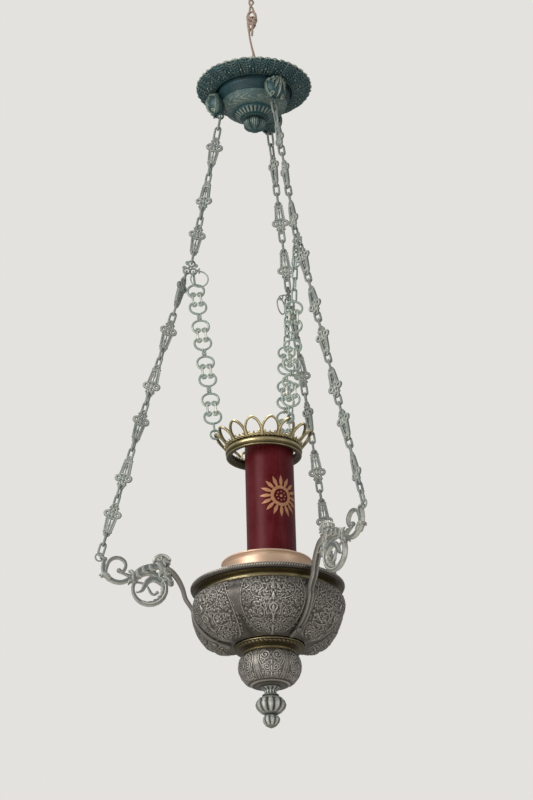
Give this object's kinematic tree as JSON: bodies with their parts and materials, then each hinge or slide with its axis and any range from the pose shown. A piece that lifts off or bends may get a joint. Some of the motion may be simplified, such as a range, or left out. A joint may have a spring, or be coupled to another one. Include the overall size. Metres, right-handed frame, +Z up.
{
  "type": "hanging altar lamp",
  "caption": "Hanging sanctuary lamp: leaf-edged canopy on a knotted rope, link chains to scroll brackets, open crown, red candle tube and a lobed embossed bowl with finial.",
  "frame": {"origin": "middle of the ceiling plate's flat upper face, on the lamp's axis", "axes": "+Z up along the lamp's axis; the pictured side faces -Y; +X is the picture's right, and the left bracket points 4 degrees past -X"},
  "size_m": [0.4122, 0.4568, 1.36],
  "materials": {
    "verdigris": "cast and pressed brass under dark blue-green corrosion",
    "chain_metal": "cast brass links, grey-green with paler worn edges",
    "crown_chain_metal": "wire and flat brass links, pale green corrosion",
    "aged_brass": "turned brass, tarnished, still bright on the edges",
    "dark_brass": "embossed brass, dark brown-grey in the hollows",
    "copper": "spun copper, softly polished",
    "red_tube": "deep red moulded tube, smooth and slightly scuffed",
    "gold_label": "printed gold label",
    "wax": "cast candle wax",
    "cotton": "braided cotton",
    "rope": "twisted twine, pinkish brown",
    "dark_iron": "dark forged iron"
  },
  "bodies": {
    "ceiling_fitting": {"ceiling_plate": "aged_brass", "screw_eye": "dark_iron"},
    "hanging_loop": {"connecting_ring": "dark_iron"},
    "rope_line": {"rope_upper": "rope", "rope_knot": "rope", "rope_lower": "rope", "swivel_eye": "verdigris", "swivel_nut": "dark_iron"},
    "canopy": {"canopy_dish": "verdigris", "canopy_bell": "verdigris", "canopy_bud": "verdigris", "chain_lug_left": "verdigris", "chain_lug_right": "verdigris", "chain_lug_back": "verdigris"},
    "bowl": {"rim_ring": "dark_brass", "cavetto_band": "aged_brass", "bowl_body": "dark_brass", "bowl_insert": "aged_brass", "beaded_collar": "dark_brass", "neck": "aged_brass", "lower_knop": "dark_brass", "fluted_stem": "dark_brass", "melon_finial": "dark_brass", "button": "dark_brass", "centre_rod": "dark_iron", "rod_nut": "dark_iron", "bracket_left": "dark_brass", "strap_left": "dark_brass", "strap_screw_left": "dark_brass", "bracket_right": "dark_brass", "strap_right": "dark_brass", "strap_screw_right": "dark_brass", "bracket_back": "dark_brass", "strap_back": "dark_brass", "strap_screw_back": "dark_brass"},
    "pan": {"pan": "copper"},
    "candle": {"candle_tube": "red_tube", "candle_wax": "wax", "wick": "cotton", "sunburst_label": "gold_label"},
    "crown": {"crown_ring": "aged_brass", "crown_gallery": "aged_brass"},
    "chain_left": {"chain_upper_left": "chain_metal", "junction_left": "chain_metal", "chain_lower_left": "chain_metal", "end_ring_left": "chain_metal"},
    "crown_chain_left": {"crown_chain_left": "crown_chain_metal"},
    "loose_ring_left": {"loose_ring_left": "chain_metal"},
    "chain_right": {"chain_upper_right": "chain_metal", "junction_right": "chain_metal", "chain_lower_right": "chain_metal", "end_ring_right": "chain_metal"},
    "crown_chain_right": {"crown_chain_right": "crown_chain_metal"},
    "loose_ring_right": {"loose_ring_right": "chain_metal"},
    "chain_back": {"chain_upper_back": "chain_metal", "junction_back": "chain_metal", "chain_lower_back": "chain_metal", "end_ring_back": "chain_metal"},
    "crown_chain_back": {"crown_chain_back": "crown_chain_metal"},
    "loose_ring_back": {"loose_ring_back": "chain_metal"}
  },
  "joints": [
    {"name": "swing_side", "type": "hinge", "parent": "ceiling_fitting", "child": "hanging_loop", "pos_m": [0, 0, -0.0416], "axis": [0, 1, 0], "range_deg": [-10, 10]},
    {"name": "swing_front", "type": "hinge", "parent": "hanging_loop", "child": "rope_line", "pos_m": [0, 0, -0.0564], "axis": [1, 0, 0], "range_deg": [-10, 10]},
    {"name": "lamp_turn", "type": "hinge", "parent": "rope_line", "child": "canopy", "pos_m": [0, 0, -0.255], "axis": [0, 0, 1], "range_deg": [-150, 150]},
    {"name": "bowl_sway", "type": "hinge", "parent": "canopy", "child": "bowl", "pos_m": [0, 0, -0.0754], "axis": [0, 1, 0], "range_deg": [-5, 5]},
    {"name": "chain_swing_left", "type": "hinge", "parent": "canopy", "child": "chain_left", "pos_m": [-0.05686, -0.00398, -0.3067], "axis": [0, 1, 0], "range_deg": [-7, 7]},
    {"name": "chain_swing_right", "type": "hinge", "parent": "canopy", "child": "chain_right", "pos_m": [0.03187, -0.04726, -0.3067], "axis": [0, 1, 0], "range_deg": [-7, 7]},
    {"name": "chain_swing_back", "type": "hinge", "parent": "canopy", "child": "chain_back", "pos_m": [0.02499, 0.05123, -0.3067], "axis": [0, 1, 0], "range_deg": [-7, 7]},
    {"name": "crown_tilt", "type": "hinge", "parent": "bowl", "child": "crown", "pos_m": [0, 0, -0.892], "axis": [0, 1, 0], "range_deg": [-4.5, 4.5]},
    {"name": "crown_chain_swing_left", "type": "hinge", "parent": "chain_left", "child": "crown_chain_left", "pos_m": [-0.10614, -0.00742, -0.5976], "axis": [0, 1, 0], "range_deg": [-1.5, 1.5]},
    {"name": "crown_chain_swing_right", "type": "hinge", "parent": "chain_right", "child": "crown_chain_right", "pos_m": [0.0595, -0.08821, -0.5976], "axis": [0, 1, 0], "range_deg": [-1.5, 1.5]},
    {"name": "crown_chain_swing_back", "type": "hinge", "parent": "chain_back", "child": "crown_chain_back", "pos_m": [0.04664, 0.09563, -0.5976], "axis": [0, 1, 0], "range_deg": [-1.5, 1.5]},
    {"name": "loose_ring_swing_left", "type": "hinge", "parent": "chain_left", "child": "loose_ring_left", "pos_m": [-0.09619, -0.01495, -0.6011], "axis": [0.0698, -0.9976, 0], "range_deg": [-12, 12]},
    {"name": "loose_ring_swing_right", "type": "hinge", "parent": "chain_right", "child": "loose_ring_right", "pos_m": [0.06104, -0.07583, -0.6011], "axis": [0.829, 0.5592, 0], "range_deg": [-12, 12]},
    {"name": "loose_ring_swing_back", "type": "hinge", "parent": "chain_back", "child": "loose_ring_back", "pos_m": [0.03515, 0.09078, -0.6011], "axis": [-0.8988, 0.4384, 0], "range_deg": [-12, 12]},
    {"name": "pan_lift", "type": "slide", "parent": "bowl", "child": "pan", "axis": [0, 0, 1], "range_m": [0, 0.03]},
    {"name": "candle_lift", "type": "slide", "parent": "pan", "child": "candle", "axis": [0, 0, 1], "range_m": [0, 0.23]}
  ],
  "couplings": [
    {"joint": "chain_swing_left", "follows": "bowl_sway", "ratio": 1.2951},
    {"joint": "chain_swing_right", "follows": "bowl_sway", "ratio": 1.2951},
    {"joint": "chain_swing_back", "follows": "bowl_sway", "ratio": 1.2951},
    {"joint": "crown_tilt", "follows": "bowl_sway", "ratio": -0.7775},
    {"joint": "crown_chain_swing_left", "follows": "bowl_sway", "ratio": 0.2111},
    {"joint": "crown_chain_swing_right", "follows": "bowl_sway", "ratio": 0.2111},
    {"joint": "crown_chain_swing_back", "follows": "bowl_sway", "ratio": 0.2111}
  ]
}
